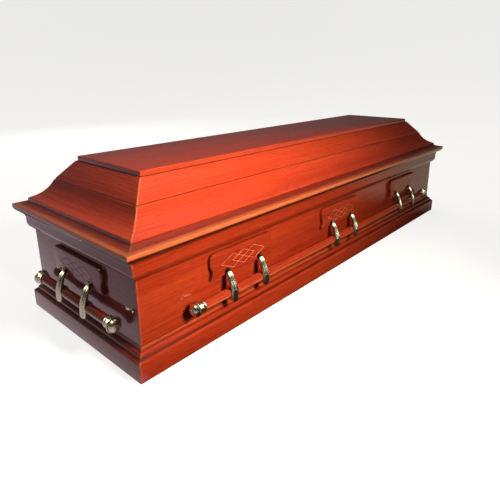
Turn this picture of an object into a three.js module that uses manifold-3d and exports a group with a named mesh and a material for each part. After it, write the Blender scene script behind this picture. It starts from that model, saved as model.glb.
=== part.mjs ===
// Wooden coffin: a moulded box, a raised lid that lifts off, and a fixed bar handle on each side.
// Millimetres, +Z up. +X runs along the length, and the origin is on the floor under the middle.
//
// Every moulding, board and handle part is drawn as seen by someone who faces one side of the box:
// "out" is the distance out from the outer face of that side's board, negative inside it.
import * as THREE from 'three';
import { mergeVertices } from 'three/addons/utils/BufferGeometryUtils.js';
import Module from 'manifold-3d';

const wasm = await Module();
wasm.setup();

// Clearance between pieces that touch, and the sides of a bar and of what fits round it
const GAP = 0.3;
const FACETS = 12;

// Box, measured over its boards
const BODY_LENGTH = 1960;
const BODY_WIDTH = 590;
const BODY_HEIGHT = 346;
const WALL = 22;
const FLOOR = 18;

// Plinth moulding: upright face, rounded shoulder, quirk, small bead and a cove up to a thin lip
const PLINTH_PROJECTION = 26.5;
const PLINTH_FACE = 54;
const PLINTH_SHOULDER = 9.5;
const PLINTH_QUIRK = 4;
const PLINTH_BEAD_WIDTH = 8;
const PLINTH_BEAD_RISE = 11;
const PLINTH_COVE = 11;
const PLINTH_LIP = 1.5;

// Rim moulding round the top of the box: fillet, ovolo, upright face and a band that stands proud
const RIM_PROJECTION = 20;
const RIM_HEIGHT = 60;
const RIM_FILLET = 6;
const RIM_OVOLO = 20;
const RIM_BAND = 13;
const RIM_STEP = 2;

// Cornice moulding of the lid: lip, cove, bead and the hollow that climbs to the groove
const LIP_PROJECTION = 45;
const LIP_DROP = 5;
const LIP_HEIGHT = 25;
const LIP_CHAMFER = 9;
const COVE_WIDTH = 38;
const COVE_RISE = 10;
const COVE_SAG = 3;
const BEAD_WIDTH = 4;
const BEAD_RISE = 10;
const HOLLOW_RUN = 64;
const HOLLOW_RISE = 62;
const HOLLOW_SAG = 9;

// Sloping boards above the groove, and the flat top board
const SLOPE_RUN = 52;
const SLOPE_RISE = 58;
const LID_BOARD = 20;
const GROOVE_WIDTH = 6;
const GROOVE_DEPTH = 3;
const TOP_BOARD = 16;
const TOP_LEDGE = 5;
const TOP_ROUND = 4;

// Plaque behind each pair of arms
const PLAQUE_WIDTH = 283;
const PLAQUE_BOTTOM = 192;
const PLAQUE_HEIGHT = 81;
const PLAQUE_THICKNESS = 13;
const PLAQUE_EDGE = 3.5;
const PLAQUE_WAIST = 7.5;
const PLAQUE_CORNER = 18;
const PLAQUE_SETBACK = 388.5;

// Handle bar and the arms that hold it, each with a round head screwed to the plaque
const BAR_OUT = 31;
const BAR_HEIGHT = 141;
const BAR_RADIUS = 14.5;
const BAR_OVERHANG = 120;
const ARM_SPACING = 148;
const ARM_HEAD_RADIUS = 9.5;
const ARM_HEAD = 8;
const ARM_HEAD_RISE = 12.5;
const ARM_WIDTH = 26;
const ARM_THICKNESS = 11;
const ARM_FLUTE = 1.3;
const EYE_WALL = 3;
const EYE_WIDTH = 18;

// Turned cap on each end of a bar: a collar over the bar, a flange and a low dome with a button
const CAP_COLLAR = 24;
const CAP_WALL = 3.2;
const CAP_FLANGE_RADIUS = 23.5;
const CAP_FLANGE = 5;
const CAP_DOME = 14;
const CAP_DOME_RADIUS = 20;
const CAP_BUTTON = 3;
const CAP_BUTTON_RADIUS = 8;

// Places that follow from the sizes above
const HALF_LENGTH = BODY_LENGTH / 2;
const HALF_WIDTH = BODY_WIDTH / 2;
const LIP_FOOT = BODY_HEIGHT + LIP_DROP;
const LIP_TOP = LIP_FOOT + LIP_HEIGHT;
const COVE_TOP = [LIP_PROJECTION - COVE_WIDTH, LIP_TOP + COVE_RISE];
const HOLLOW_FOOT = [COVE_TOP[0] - BEAD_WIDTH, COVE_TOP[1] + BEAD_RISE];
const JOINT = [HOLLOW_FOOT[0] - HOLLOW_RUN, HOLLOW_FOOT[1] + HOLLOW_RISE];
const SLOPE_TOP = [JOINT[0] - SLOPE_RUN, JOINT[1] + SLOPE_RISE];
const SLOPE_ANGLE = Math.atan2(SLOPE_RISE, SLOPE_RUN);
const SLOPE_UP = [-Math.cos(SLOPE_ANGLE), Math.sin(SLOPE_ANGLE)];
const SLOPE_IN = [-Math.sin(SLOPE_ANGLE), -Math.cos(SLOPE_ANGLE)];
const HEAD_HEIGHT = PLAQUE_BOTTOM + ARM_HEAD_RISE;
const BORE_RADIUS = BAR_RADIUS + GAP;
const EYE_RADIUS = BORE_RADIUS + EYE_WALL;

const LACQUERED_WOOD = { color: 0xa8321a, roughness: 0.18, metalness: 0 };
const DARK_WOOD = { color: 0x8c2a18, roughness: 0.22, metalness: 0 };
const RAW_WOOD = { color: 0xb98a5a, roughness: 0.8, metalness: 0 };
const ANTIQUE_BRASS = { color: 0xb3aa86, roughness: 0.3, metalness: 1 };

const coffin = new THREE.Group();
const box = new THREE.Group();
const lid = new THREE.Group();
coffin.add(box, lid);

// The four sides: which way each faces, half the length of its outer face, how far out that face
// stands from the middle of the box, and where its plaques are centred
const longCentres = [PLAQUE_SETBACK - HALF_LENGTH, 0, HALF_LENGTH - PLAQUE_SETBACK];
const SIDES = [
  { name: 'front', turn: 0, half: HALF_LENGTH, reach: HALF_WIDTH, centres: longCentres },
  { name: 'back', turn: Math.PI, half: HALF_LENGTH, reach: HALF_WIDTH, centres: longCentres },
  { name: 'left', turn: -Math.PI / 2, half: HALF_WIDTH, reach: HALF_LENGTH, centres: [0] },
  { name: 'right', turn: Math.PI / 2, half: HALF_WIDTH, reach: HALF_LENGTH, centres: [0] },
];

// A group whose local -Y points out of the given side, with y = 0 on the board's outer face.
function sideFrame(side, parent) {
  const frame = new THREE.Group();
  frame.rotation.z = side.turn;
  frame.position.set(Math.sin(side.turn) * side.reach, -Math.cos(side.turn) * side.reach, 0);
  parent.add(frame);
  return frame;
}

function addMesh(parent, name, geometry, look, x = 0) {
  const mesh = new THREE.Mesh(geometry, new THREE.MeshStandardMaterial(look));
  mesh.name = name;
  mesh.position.x = x;
  parent.add(mesh);
}

function shifted(point, direction, distance) {
  return [point[0] + direction[0] * distance, point[1] + direction[1] * distance];
}

// Points along a curve whose middle stands off the chord, to its left, by the given sag.
function sagging(from, to, sag, steps) {
  const start = new THREE.Vector2(...from);
  const end = new THREE.Vector2(...to);
  const left = new THREE.Vector2(start.y - end.y, end.x - start.x).normalize();
  const control = start.clone().add(end).multiplyScalar(0.5).addScaledVector(left, 2 * sag);
  const points = new THREE.QuadraticBezierCurve(start, control, end).getPoints(steps);
  return points.map((point) => [point.x, point.y]);
}

// A length of board or moulding with 45 degree mitres, from its section in (out, height).
function mitredLength(section, half) {
  const shape = new THREE.Shape(section.map(([out, height]) => new THREE.Vector2(out, height)));
  const geometry = new THREE.ExtrudeGeometry(shape, { depth: 1, bevelEnabled: false });
  const position = geometry.attributes.position;
  for (let i = 0; i < position.count; i += 1) {
    const out = position.getX(i);
    const height = position.getY(i);
    const end = position.getZ(i) > 0.5 ? -1 : 1;
    position.setXYZ(i, end * (half + out - GAP * Math.SQRT1_2), -out, height);
  }
  geometry.deleteAttribute('normal');
  geometry.deleteAttribute('uv');
  return geometry;
}

function plinthSection() {
  const shoulderTop = [PLINTH_PROJECTION - PLINTH_SHOULDER * 0.8, PLINTH_FACE + PLINTH_SHOULDER];
  const shoulder = sagging([PLINTH_PROJECTION, PLINTH_FACE], shoulderTop, -PLINTH_SHOULDER * 0.17, 4);
  const beadFoot = [shoulderTop[0] - PLINTH_QUIRK, shoulderTop[1] + PLINTH_QUIRK];
  const beadTop = [beadFoot[0] - PLINTH_BEAD_WIDTH, beadFoot[1] + PLINTH_BEAD_RISE];
  const bead = sagging(beadFoot, beadTop, -PLINTH_BEAD_WIDTH * 0.25, 4);
  const lip = [PLINTH_LIP, beadTop[1] + PLINTH_COVE];
  const cove = sagging(beadTop, lip, PLINTH_LIP * 0.7, 3);
  return [[GAP, 0], [PLINTH_PROJECTION, 0], ...shoulder, ...bead, ...cove.slice(1), [GAP, lip[1]]];
}

function rimSection() {
  const foot = BODY_HEIGHT - RIM_HEIGHT;
  const face = RIM_PROJECTION - RIM_STEP;
  const filletTop = [face * 0.42, foot + RIM_FILLET];
  const ovolo = sagging(filletTop, [face, filletTop[1] + RIM_OVOLO], -RIM_OVOLO * 0.16, 5);
  return [
    [GAP, foot], [face * 0.1, foot], [face * 0.36, foot + RIM_FILLET * 0.6], ...ovolo,
    [face, BODY_HEIGHT - RIM_BAND - RIM_STEP], [RIM_PROJECTION, BODY_HEIGHT - RIM_BAND],
    [RIM_PROJECTION, BODY_HEIGHT - RIM_STEP], [RIM_PROJECTION - RIM_STEP, BODY_HEIGHT],
    [GAP, BODY_HEIGHT],
  ];
}

function corniceSection() {
  const seat = BODY_HEIGHT + GAP;
  const chamferTop = LIP_FOOT + LIP_HEIGHT / 2;
  const cove = sagging([LIP_PROJECTION - 1.5, LIP_TOP], COVE_TOP, COVE_SAG, 4);
  const beadSide = [COVE_TOP[0] - BEAD_WIDTH * 0.2, COVE_TOP[1] + BEAD_RISE * 0.6];
  const bead = sagging(beadSide, HOLLOW_FOOT, -BEAD_WIDTH * 0.2, 3);
  const hollowTop = shifted(JOINT, SLOPE_UP, -GROOVE_WIDTH / 2);
  const hollow = sagging(HOLLOW_FOOT, hollowTop, HOLLOW_SAG, 7);
  const mating = shifted(JOINT, SLOPE_UP, -GAP / 2);
  const innerTop = shifted(mating, SLOPE_IN, LID_BOARD);
  const innerFoot = [-WALL, HOLLOW_FOOT[1] - LID_BOARD * 0.6];
  const inside = sagging(innerTop, innerFoot, -HOLLOW_SAG * 0.6, 4);
  return [
    [-WALL, seat], [RIM_PROJECTION, seat], [RIM_PROJECTION, LIP_FOOT],
    [LIP_PROJECTION - LIP_CHAMFER, LIP_FOOT],
    [LIP_PROJECTION - LIP_CHAMFER / 3, LIP_FOOT + LIP_HEIGHT / 4], [LIP_PROJECTION, chamferTop],
    [LIP_PROJECTION, LIP_TOP - 2], ...cove, ...bead, ...hollow.slice(1),
    shifted(mating, SLOPE_IN, GROOVE_DEPTH), ...inside,
  ];
}

function slopeSection() {
  const outerFoot = shifted(JOINT, SLOPE_UP, GROOVE_WIDTH / 2);
  const mating = shifted(JOINT, SLOPE_UP, GAP / 2);
  const innerTop = [SLOPE_TOP[0] - LID_BOARD / Math.sin(SLOPE_ANGLE), SLOPE_TOP[1]];
  return [
    outerFoot, SLOPE_TOP, innerTop,
    shifted(mating, SLOPE_IN, LID_BOARD), shifted(mating, SLOPE_IN, GROOVE_DEPTH),
  ];
}

// Triangles over a flat ring of points, wound as the ring runs.
function capFaces(ring) {
  const points = ring.map((point) => new THREE.Vector3(...point));
  const normal = new THREE.Vector3();
  points.forEach((point, i) => {
    normal.add(new THREE.Vector3().crossVectors(point, points[(i + 1) % points.length]));
  });
  const turn = new THREE.Quaternion().setFromUnitVectors(normal.normalize(), new THREE.Vector3(0, 0, 1));
  const flat = points.map((point) => {
    const turned = point.applyQuaternion(turn);
    return new THREE.Vector2(turned.x, turned.y);
  });
  return THREE.ShapeUtils.triangulateShape(flat, []);
}

// Closed solid through rings of points. Seen from the last ring, each ring runs anticlockwise.
function loft(rings) {
  const count = rings[0].length;
  const last = (rings.length - 1) * count;
  const indices = [];
  for (let start = 0; start < last; start += count) {
    for (let i = 0; i < count; i += 1) {
      const a = start + i;
      const b = start + ((i + 1) % count);
      indices.push(a, b, b + count, a, b + count, a + count);
    }
  }
  for (const [a, b, c] of capFaces(rings[0])) {
    indices.push(a, c, b);
  }
  for (const [a, b, c] of capFaces(rings[rings.length - 1])) {
    indices.push(last + a, last + b, last + c);
  }
  const geometry = new THREE.BufferGeometry();
  geometry.setAttribute('position', new THREE.Float32BufferAttribute(rings.flat(2), 3));
  geometry.setIndex(indices);
  return geometry;
}

// Flat board with a rounded upper arris, seated on the level tops of the sloping boards.
function topBoard() {
  const halfLength = HALF_LENGTH + SLOPE_TOP[0] - TOP_LEDGE;
  const halfWidth = HALF_WIDTH + SLOPE_TOP[0] - TOP_LEDGE;
  const high = SLOPE_TOP[1] + TOP_BOARD;
  const levels = [[0, SLOPE_TOP[1] + GAP]];
  for (let step = 0; step <= 3; step += 1) {
    const angle = step * Math.PI / 6;
    levels.push([TOP_ROUND * (1 - Math.cos(angle)), high - TOP_ROUND * (1 - Math.sin(angle))]);
  }
  const corners = [[-1, -1], [1, -1], [1, 1], [-1, 1]];
  return loft(levels.map(([inset, height]) => corners.map(([x, y]) => (
    [x * (halfLength - inset), y * (halfWidth - inset), height]))));
}

function toSolid(geometry) {
  const bare = geometry.clone();
  bare.deleteAttribute('normal');
  bare.deleteAttribute('uv');
  const merged = mergeVertices(bare, 1e-4);
  return new wasm.Manifold(new wasm.Mesh({
    numProp: 3,
    vertProperties: new Float32Array(merged.attributes.position.array),
    triVerts: new Uint32Array(merged.index.array),
  }));
}

function toGeometry(solid) {
  const mesh = solid.getMesh();
  const geometry = new THREE.BufferGeometry();
  geometry.setAttribute('position', new THREE.Float32BufferAttribute(mesh.vertProperties, 3));
  geometry.setIndex(Array.from(mesh.triVerts));
  return geometry;
}

// Rod along the side ('x') or straight out from it ('out'), centred on (x, out, height).
function rod(axis, radius, length, segments, [x, out, height]) {
  const geometry = new THREE.CylinderGeometry(radius, radius, length, segments);
  if (axis === 'x') {
    geometry.rotateZ(Math.PI / 2);
  }
  geometry.translate(x, -out, height);
  return geometry;
}

// Outline of a plaque, drawn in by the given inset, at the given distance out from the board. Its
// two sides have a waist about a quarter of the way up.
function plaqueRing(inset, out) {
  const half = PLAQUE_WIDTH / 2 - inset;
  const bottom = PLAQUE_BOTTOM + inset;
  const radius = PLAQUE_CORNER - inset / 2;
  const centreHeight = PLAQUE_BOTTOM + PLAQUE_HEIGHT - inset - radius;
  const sidePoint = (side, share) => {
    const waist = PLAQUE_WAIST * Math.exp(-(((share - 0.27) / 0.16) ** 2));
    return [side * (half - waist), -out, bottom + share * (PLAQUE_HEIGHT - 2 * inset)];
  };
  const ring = [[-half, -out, bottom], [half, -out, bottom], sidePoint(1, 0.27), sidePoint(1, 0.5)];
  for (const [side, from] of [[1, 0], [-1, Math.PI / 2]]) {
    for (let step = 0; step <= 2; step += 1) {
      const angle = from + step * Math.PI / 4;
      const x = side * (half - radius) + radius * Math.cos(angle);
      ring.push([x, -out, centreHeight + radius * Math.sin(angle)]);
    }
  }
  ring.push(sidePoint(-1, 0.5), sidePoint(-1, 0.27));
  return ring;
}

// Plaque with an upright edge and a rounded arris round its flat face.
function plaqueGeometry() {
  const levels = [[0, 0.5], [0.3, 0.85], [1, 1]];
  const rings = levels.map(([inset, depth]) => plaqueRing(inset * PLAQUE_EDGE, depth * PLAQUE_THICKNESS));
  return loft([plaqueRing(0, GAP), ...rings]);
}

// Stations down the arm. The first two numbers are shares of the way out and down from the face of
// its head to the front of its eye, then come shares of its full width and thickness.
const ARM_STATIONS = [
  [-0.14, -0.04, 0.7, 0.5],
  [0.07, 0.04, 0.78, 0.7],
  [0.36, 0.2, 0.84, 1],
  [0.72, 0.52, 0.88, 1.3],
  [0.95, 0.82, 0.95, 1.5],
  [1.02, 1.04, 1, 1.7],
  [1.06, 1.3, 1, 1.9],
  [1.04, 1.46, 0.8, 1.5],
];

// Cast arm: a round head against the plaque, a neck that bows outward, and a fluted leaf that is
// joined to an eye round the bar.
function armGeometry() {
  const headFoot = PLAQUE_THICKNESS + GAP;
  const headFace = PLAQUE_THICKNESS + ARM_HEAD;
  const leafFace = BAR_OUT + EYE_RADIUS;
  const spine = new THREE.SplineCurve(ARM_STATIONS.map(([out, down]) => new THREE.Vector2(
    THREE.MathUtils.lerp(headFace, leafFace, out),
    THREE.MathUtils.lerp(HEAD_HEIGHT, BAR_HEIGHT, down),
  )));
  const rings = ARM_STATIONS.map(([, , width, thickness], i) => {
    const along = i / (ARM_STATIONS.length - 1);
    const point = spine.getPoint(along);
    const tangent = spine.getTangent(along);
    const half = width * ARM_WIDTH / 2;
    const depth = thickness * ARM_THICKNESS;
    const flute = width * ARM_FLUTE;
    const section = [
      [0, 0], [-0.45, flute], [-1, depth * 0.35], [-0.7, depth],
      [0.7, depth], [1, depth * 0.35], [0.45, flute],
    ];
    return section.map(([across, back]) => (
      [across * half, -(point.x + tangent.y * back), point.y - tangent.x * back]));
  });
  const headMiddle = (headFoot + headFace) / 2;
  const head = rod('out', ARM_HEAD_RADIUS, headFace - headFoot, FACETS, [0, headMiddle, HEAD_HEIGHT]);
  const eye = rod('x', EYE_RADIUS, EYE_WIDTH, FACETS, [0, BAR_OUT, BAR_HEIGHT]);
  const bore = rod('x', BORE_RADIUS, 2 * ARM_WIDTH, FACETS, [0, BAR_OUT, BAR_HEIGHT]);
  return toGeometry(toSolid(loft(rings)).add(toSolid(head)).add(toSolid(eye)).subtract(toSolid(bore)));
}

// Turned cap along local X, with its mouth at x = 0 and its knob towards +X.
function capGeometry() {
  const collar = BORE_RADIUS + CAP_WALL;
  const flangeEnd = CAP_COLLAR + CAP_FLANGE;
  const end = flangeEnd + CAP_DOME + CAP_BUTTON;
  const profile = [
    [0, CAP_COLLAR - GAP], [BORE_RADIUS, CAP_COLLAR - GAP], [BORE_RADIUS, 0], [collar, 0],
    [collar, CAP_COLLAR], [CAP_FLANGE_RADIUS, CAP_COLLAR + 1], [CAP_FLANGE_RADIUS, flangeEnd - 1],
  ];
  const sweep = Math.acos(CAP_BUTTON_RADIUS / CAP_DOME_RADIUS);
  for (let step = 0; step <= 2; step += 1) {
    const angle = sweep * step / 2;
    const along = flangeEnd + CAP_DOME * Math.sin(angle) / Math.sin(sweep);
    profile.push([CAP_DOME_RADIUS * Math.cos(angle), along]);
  }
  profile.push([CAP_BUTTON_RADIUS, end], [0, end]);
  const geometry = new THREE.LatheGeometry(profile.map((point) => new THREE.Vector2(...point)), FACETS);
  geometry.rotateZ(-Math.PI / 2);
  return geometry;
}

const plaque = plaqueGeometry();
const arm = armGeometry();
const cap = capGeometry();

// Handle on one side: the wooden bar, a cap on each end, and a plaque behind each pair of arms.
function addHandle(side, frame) {
  const halfBar = side.centres[side.centres.length - 1] + ARM_SPACING / 2 + BAR_OVERHANG;
  const barEnd = halfBar + CAP_COLLAR - 2 * GAP;
  const bar = rod('x', BAR_RADIUS, 2 * barEnd, FACETS, [0, BAR_OUT, BAR_HEIGHT]);
  addMesh(frame, `${side.name}_handle_bar`, bar, LACQUERED_WOOD);
  for (const [end, turn] of [['right', 0], ['left', Math.PI]]) {
    const geometry = cap.clone();
    geometry.translate(halfBar, 0, 0);
    geometry.rotateZ(turn);
    geometry.translate(0, -BAR_OUT, BAR_HEIGHT);
    addMesh(frame, `${side.name}_bar_cap_${end}`, geometry, ANTIQUE_BRASS);
  }
  side.centres.forEach((centre, i) => {
    addMesh(frame, `${side.name}_plaque_${i + 1}`, plaque, LACQUERED_WOOD, centre);
    addMesh(frame, `${side.name}_arm_${2 * i + 1}`, arm, ANTIQUE_BRASS, centre - ARM_SPACING / 2);
    addMesh(frame, `${side.name}_arm_${2 * i + 2}`, arm, ANTIQUE_BRASS, centre + ARM_SPACING / 2);
  });
}

for (const side of SIDES) {
  const boxSide = sideFrame(side, box);
  const board = [[-WALL, 0], [0, 0], [0, BODY_HEIGHT], [-WALL, BODY_HEIGHT]];
  addMesh(boxSide, `${side.name}_board`, mitredLength(board, side.half), LACQUERED_WOOD);
  addMesh(boxSide, `${side.name}_plinth`, mitredLength(plinthSection(), side.half), LACQUERED_WOOD);
  addMesh(boxSide, `${side.name}_rim`, mitredLength(rimSection(), side.half), LACQUERED_WOOD);
  addHandle(side, boxSide);
  const lidSide = sideFrame(side, lid);
  addMesh(lidSide, `lid_${side.name}_cornice`, mitredLength(corniceSection(), side.half), LACQUERED_WOOD);
  addMesh(lidSide, `lid_${side.name}_slope`, mitredLength(slopeSection(), side.half), LACQUERED_WOOD);
}

const floorInset = 2 * (WALL + GAP);
const floorBoard = new THREE.BoxGeometry(BODY_LENGTH - floorInset, BODY_WIDTH - floorInset, FLOOR);
floorBoard.translate(0, 0, FLOOR / 2);
addMesh(box, 'bottom_board', floorBoard, RAW_WOOD);
addMesh(lid, 'lid_top_board', topBoard(), DARK_WOOD);

export default coffin;
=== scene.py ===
import math

import bmesh
import bpy
from bpy.props import FloatProperty, FloatVectorProperty, PointerProperty
from bpy.types import Operator, Panel, PropertyGroup
from mathutils import Matrix, Vector


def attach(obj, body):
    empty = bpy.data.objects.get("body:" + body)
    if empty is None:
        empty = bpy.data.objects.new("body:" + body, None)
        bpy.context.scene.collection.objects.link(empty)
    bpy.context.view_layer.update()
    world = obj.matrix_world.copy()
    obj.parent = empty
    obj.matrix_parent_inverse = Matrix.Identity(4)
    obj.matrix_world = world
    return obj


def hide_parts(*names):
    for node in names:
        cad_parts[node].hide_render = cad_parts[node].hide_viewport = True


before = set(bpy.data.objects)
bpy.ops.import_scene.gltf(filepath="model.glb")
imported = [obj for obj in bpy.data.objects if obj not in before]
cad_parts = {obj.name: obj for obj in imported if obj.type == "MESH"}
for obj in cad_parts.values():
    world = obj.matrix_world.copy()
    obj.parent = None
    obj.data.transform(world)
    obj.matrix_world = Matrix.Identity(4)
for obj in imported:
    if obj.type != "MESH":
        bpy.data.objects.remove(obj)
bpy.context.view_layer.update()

bl_info = {
    "name": "Wooden coffin finishes",
    "version": (1, 0, 0),
    "blender": (4, 5, 0),
    "location": "View3D > Sidebar > Coffin",
    "description": "Builds the finished pieces of a wooden coffin round its fixed frame",
    "category": "Object",
}

MM = 0.001
SIDES = {"front": 0, "back": math.pi, "left": -math.pi / 2, "right": math.pi / 2}
LONG_SIDES = ("front", "back")
# Metres of plank between the cuts for neighbouring lengths
GRAIN_STEP = 3.7

# Sections of the mouldings, in millimetres: the same figures as the part's source
GAP = 0.3
PLINTH_PROJECTION = 26.5
PLINTH_FACE = 54
PLINTH_SHOULDER = 9.5
PLINTH_QUIRK = 4
PLINTH_BEAD_WIDTH = 8
PLINTH_BEAD_RISE = 11
PLINTH_COVE = 11
PLINTH_LIP = 1.5
RIM_PROJECTION = 20
RIM_HEIGHT = 60
RIM_FILLET = 6
RIM_OVOLO = 20
RIM_BAND = 13
RIM_STEP = 2
LIP_PROJECTION = 45
LIP_DROP = 5
LIP_HEIGHT = 25
LIP_CHAMFER = 9
COVE_WIDTH = 38
COVE_RISE = 10
COVE_SAG = 3
BEAD_WIDTH = 4
BEAD_RISE = 10
HOLLOW_RUN = 64
HOLLOW_RISE = 62
HOLLOW_SAG = 9
SLOPE_RUN = 52
SLOPE_RISE = 58
LID_BOARD = 20
GROOVE_WIDTH = 6
GROOVE_DEPTH = 3
TOP_BOARD = 16
TOP_LEDGE = 5
TOP_ROUND = 4
TOP_CORNER = 5

# Painted shade in the mouldings, strips painted darker where shade falls: how tall each strip is
# and the share of the colour left in it, at heights below the range
BAND_RANGE = 600
QUIRK_STRIP = 5
DARK_QUIRK = 0.3
BEAD_TOP_STRIP = 3
DARK_BEAD_TOP = 0.4
RIM_FOOT_STRIP = 3
LIP_FOOT_STRIP = 3.5
DARK_LIP_FOOT = 0.08
COVE_STRIP = 11.5
COVE_STRIP_FOOT = 1.5
DARK_COVE = 0.4

# Plaques and handles
PLAQUE_BOTTOM = 192
PLAQUE_EDGE = 3.5
PLAQUE_WAIST = 7.5
WAIST_PLACE = 0.27
WAIST_SPREAD = 0.16
PLAQUE_FOOT_ROUND = 1.2
PLAQUE_CORNER = 18
PLAQUE_SETBACK = 388.5
DIAMOND_PITCH = 49
DIAMOND_HALF_HEIGHT = 23
DIAMOND_MIDDLE = 38.5
CUT_WIDTH = 1.8
CUT_DEPTH = 1
BAR_OUT = 31
BAR_HEIGHT = 141
BAR_OVERHANG = 120
BAR_NECK_RADIUS = 7.7
SHOULDER_FOOT = 13.3
SHOULDER_ROUND = 8
ARM_HEAD_RADIUS = 9.5
ARM_HEAD = 8
ARM_HEAD_RISE = 12.5
HEAD_ROUND = 3
ARM_WIDTH = 26
ARM_THICKNESS = 11
ARM_FLUTE = 1.3
EYE_WALL = 3
EYE_WIDTH = 18
EYE_BORE = 8
CAP_COLLAR = 24
CAP_WALL = 3.2
CAP_FLANGE_RADIUS = 23.5
CAP_FLANGE = 5
CAP_DOME = 14
CAP_DOME_RADIUS = 20
CAP_BUTTON = 3
CAP_BUTTON_RADIUS = 8

# The studio, in metres, and the camera at the photograph's angle: its turn is yaw, pitch and roll
FLOOR_RADIUS = 5.5
SWEEP_ROUND = 1.5
BACKDROP_HEIGHT = 6
CAMERA_PLACE = (-1.54058, -1.21022, 0.80096)
CAMERA_TURN = (0.7242, -0.2882, -0.0049)
CAMERA_SENSOR = 36
CAMERA_LENS = 31.99
CAMERA_SHIFT = (-0.0165, -0.0993)

# Stations down an arm: shares of the way out and down from the face of its head to the front of
# its eye, then shares of its full width and thickness
ARM_STATIONS = [
    (-0.14, -0.04, 0.7, 0.5),
    (0.07, 0.04, 0.78, 0.7),
    (0.36, 0.2, 0.84, 1),
    (0.72, 0.52, 0.88, 1.3),
    (0.95, 0.82, 0.95, 1.5),
    (1.02, 1.04, 1, 1.7),
    (1.06, 1.3, 1, 1.9),
    (1.04, 1.46, 0.8, 1.5),
]


def linear(code):
    """The linear colour of an sRGB hex code."""
    parts = [int(code[i : i + 2], 16) / 255 for i in (1, 3, 5)]
    return tuple(c / 12.92 if c <= 0.04045 else ((c + 0.055) / 1.055) ** 2.4 for c in parts)


def length(name, millimetres, description):
    return FloatProperty(
        name=name, description=description, default=millimetres * MM, min=0,
        subtype="DISTANCE", unit="LENGTH",
    )


def colour(name, code, description):
    return FloatVectorProperty(
        name=name, description=description, default=linear(code), size=3, min=0, max=1, subtype="COLOR"
    )


class CoffinSizes(PropertyGroup):
    body_length: length("Box length", 1960, "Length of the box over its boards")
    body_width: length("Box width", 590, "Width of the box over its boards")
    body_height: length("Box height", 346, "Height of the box's boards")
    wall: length("Board thickness", 22, "Thickness of the boards of the box")
    corner_round: length("Corner round", 2.6, "Radius of the eased corner arrises")
    arris: length("Arris round", 1.1, "Radius of the eased arrises along the mouldings")
    mitre_gap: length("Mitre gap", 0.04, "Half of the hairline at each mitre")
    plaque_width: length("Plaque width", 283, "Width of a plaque")
    plaque_height: length("Plaque height", 81, "Height of a plaque")
    plaque_thickness: length("Plaque thickness", 13, "How far a plaque stands off the board")
    arm_spacing: length("Arm spacing", 148, "Distance between the two arms on a plaque")
    bar_radius: length("Bar radius", 14.5, "Radius of a handle bar")


class CoffinColours(PropertyGroup):
    box_dark: colour("Box dark grain", "#5e1409", "Dark streaks in the stained wood of the box")
    box_stain: colour("Box stain", "#9e2c13", "Main colour of the stained wood of the box")
    box_light: colour("Box light grain", "#bf4a22", "Pale streaks in the stained wood of the box")
    lid_dark: colour("Lid dark grain", "#8e2614", "Dark streaks in the stained wood of the lid")
    lid_stain: colour("Lid stain", "#c93b1e", "Main colour of the stained wood of the lid")
    lid_light: colour("Lid light grain", "#dd5830", "Pale streaks in the stained wood of the lid")
    # Colour of the painted highlights on the lid's lip face and on the lacquered arrises
    lip_and_arris_highlight: colour("Lip stain", "#d26d3f", "Paler stained wood of the lid's lip")
    # Paler cut wood in the incised lines, with a painted highlight of the lit groove facets
    cut_wood: colour("Cut lines", "#d4785a", "Wood in the incised lines, under lacquer")
    raw_wood: colour("Raw wood", "#c79a66", "Unfinished boards inside and underneath")
    raw_dark: colour("Raw wood grain", "#94663a", "Grain of the unfinished boards")
    brass: colour("Brass", "#dad8b8", "Rubbed faces of the antique brass")
    patina: colour("Patina", "#45412e", "Toned hollows of the antique brass")
    floor: colour("Floor", "#a8a8a6", "Pale studio floor")


def sizes():
    return bpy.context.scene.coffin_sizes


def colours():
    return bpy.context.scene.coffin_colours


# ---------------------------------------------------------------- nodes and materials


def node(tree, kind, inputs=None, **settings):
    """Adds a node, gives it its settings, and fills or links its inputs by name or number.

    A node given for an input stands for its first output, and a list links all that it holds.
    """
    made = tree.nodes.new(kind)
    for name, value in settings.items():
        if name == "stops":
            ramp = made.color_ramp
            while len(ramp.elements) < len(value):
                ramp.elements.new(0.5)
            for element, (position, shade) in zip(ramp.elements, value):
                element.position, element.color = position, (*shade, 1)
        else:
            setattr(made, name, value)
    for key, value in (inputs or {}).items():
        for source in value if isinstance(value, list) else [value]:
            if isinstance(source, bpy.types.Node):
                source = source.outputs[0]
            if isinstance(source, bpy.types.NodeSocket):
                tree.links.new(source, made.inputs[key])
            else:
                made.inputs[key].default_value = source
    return made


def new_material(name):
    material = bpy.data.materials.new(name)
    material.use_nodes = True
    material.node_tree.nodes.clear()
    return material, material.node_tree


def grey(value):
    return (value, value, value)


def mixed(*shades):
    """The middle of several colours."""
    return tuple(sum(parts) / len(parts) for parts in zip(*shades))


def box_painted_shade():
    """Painted shade in the quirks of the plinth moulding and at the foot of the rim, from the lowest up."""
    bead_foot = PLINTH_FACE + PLINTH_SHOULDER + PLINTH_QUIRK
    bead_top = bead_foot + PLINTH_BEAD_RISE
    rim_foot = sizes().body_height / MM - RIM_HEIGHT - 1
    return [
        (bead_foot - QUIRK_STRIP, bead_foot, DARK_QUIRK),
        (bead_top, bead_top + BEAD_TOP_STRIP, DARK_BEAD_TOP),
        (rim_foot - RIM_FOOT_STRIP, rim_foot, DARK_QUIRK),
    ]


def lid_painted_shade():
    """Painted shade under the lip's lower arris and in the cove above the lip, from the lowest up."""
    lip_foot = lid_points()[0]
    cove_foot = lip_foot + LIP_HEIGHT + COVE_STRIP_FOOT
    return [
        (lip_foot, lip_foot + LIP_CHAMFER + LIP_FOOT_STRIP, DARK_LIP_FOOT),
        (cove_foot, cove_foot + COVE_STRIP, DARK_COVE),
    ]


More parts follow.
